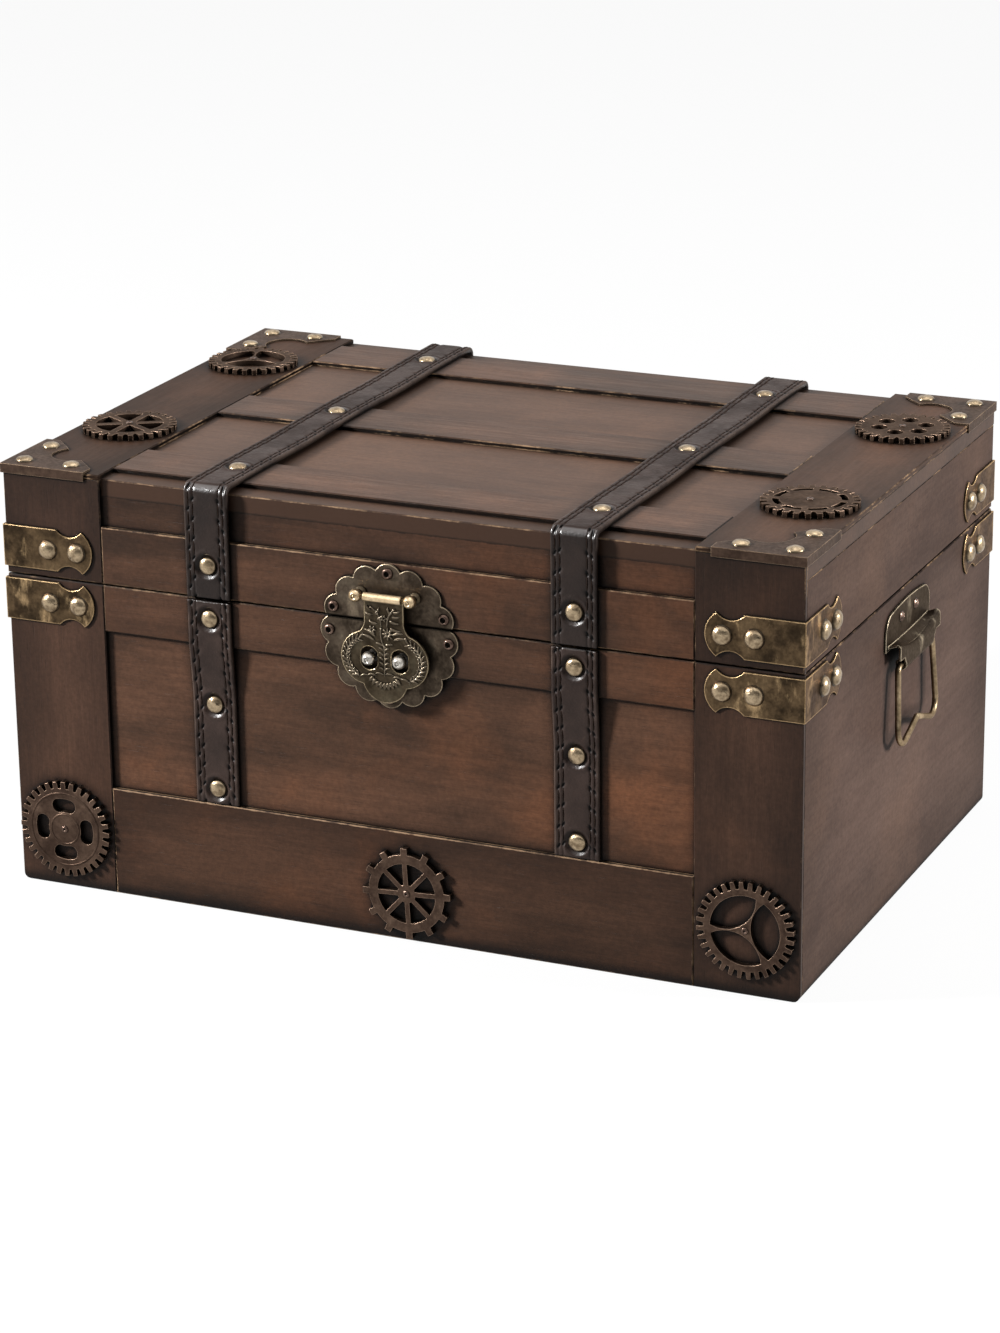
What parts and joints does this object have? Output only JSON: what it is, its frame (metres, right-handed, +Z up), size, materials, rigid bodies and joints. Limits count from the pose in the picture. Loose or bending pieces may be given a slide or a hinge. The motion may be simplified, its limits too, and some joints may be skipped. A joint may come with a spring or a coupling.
{
  "type": "treasure chest box",
  "caption": "Wooden treasure chest with a hinged flat lid, leather straps, cut brass corners, gear ornaments, a swinging slotted latch and drop handles.",
  "frame": {"origin": "centre of the underside, midway between the side walls and between the front boards' faces and the back wall's face", "axes": "+X towards the chest's right side as seen from the front, +Y towards its back, +Z up"},
  "size_m": [0.458, 0.3181, 0.2358],
  "materials": {
    "wood_panel": "red-brown stain, satin, worn pale along the edges",
    "wood_trim": "dark brown stain with streaked grain, satin",
    "wood_core": "grey-brown stain, satin",
    "strap_leather": "near-black brown, waxed, stitched along both edges",
    "nail_brass": "pale brass, polished and slightly tarnished",
    "aged_brass": "dark antique brass with bright worn edges",
    "gear_copper": "dark antique copper, low shine"
  },
  "bodies": {
    "body": {"body_front_wall": "wood_panel", "body_seam_slat": "wood_panel", "body_bottom_rail": "wood_panel", "body_left_stile": "wood_trim", "body_right_stile": "wood_trim", "bottom_board": "wood_core", "body_back_wall": "wood_core", "body_left_wall": "wood_core", "body_right_wall": "wood_core", "body_left_strap": "strap_leather", "body_right_strap": "strap_leather", "body_nails": "nail_brass", "body_screws": "nail_brass", "latch_staple_posts": "nail_brass", "body_front_left_bracket": "aged_brass", "body_front_right_bracket": "aged_brass", "body_back_brackets": "aged_brass", "latch_base_plate": "aged_brass", "left_handle_plate": "aged_brass", "right_handle_plate": "aged_brass", "hinge_body_leaves": "aged_brass", "hinge_pins": "aged_brass", "front_left_gear": "gear_copper", "front_middle_gear": "gear_copper", "front_right_gear": "gear_copper"},
    "lid": {"lid_top_board": "wood_core", "lid_front_wall": "wood_panel", "lid_back_wall": "wood_core", "lid_left_wall": "wood_core", "lid_right_wall": "wood_core", "lid_left_stile": "wood_trim", "lid_right_stile": "wood_trim", "lid_seam_slat": "wood_panel", "lid_left_end_board": "wood_trim", "lid_right_end_board": "wood_trim", "lid_front_top_slat": "wood_panel", "lid_middle_top_slat": "wood_panel", "lid_back_top_slat": "wood_panel", "lid_left_strap": "strap_leather", "lid_right_strap": "strap_leather", "lid_front_left_bracket": "aged_brass", "lid_front_right_bracket": "aged_brass", "lid_back_brackets": "aged_brass", "front_left_corner_protector": "aged_brass", "front_right_corner_protector": "aged_brass", "back_left_corner_protector": "aged_brass", "back_right_corner_protector": "aged_brass", "lid_nails": "nail_brass", "latch_lid_plate": "aged_brass", "latch_hinge_posts": "nail_brass", "latch_pin": "nail_brass", "lid_screws": "nail_brass", "top_front_left_gear": "gear_copper", "top_front_right_gear": "gear_copper", "top_back_left_gear": "gear_copper", "top_back_right_gear": "gear_copper", "hinge_lid_leaves": "aged_brass"},
    "hasp": {"latch_tongue": "aged_brass"},
    "left_bail": {"left_bail": "aged_brass"},
    "right_bail": {"right_bail": "aged_brass"}
  },
  "joints": [
    {"name": "lid_hinge", "type": "hinge", "parent": "body", "child": "lid", "pos_m": [0, 0.153, 0.1714], "axis": [-1, 0, 0], "range_deg": [0, 105]},
    {"name": "latch_pivot", "type": "hinge", "parent": "lid", "child": "hasp", "pos_m": [0, -0.1575, 0.1859], "axis": [-1, 0, 0], "range_deg": [0, 170]},
    {"name": "right_bail_pivot", "type": "hinge", "parent": "body", "child": "right_bail", "pos_m": [0.2252, 0.005, 0.1355], "axis": [0, -1, 0], "range_deg": [-7, 121]},
    {"name": "left_bail_pivot", "type": "hinge", "parent": "body", "child": "left_bail", "pos_m": [-0.2252, 0.005, 0.1355], "axis": [0, 1, 0], "range_deg": [-7, 121]}
  ]
}
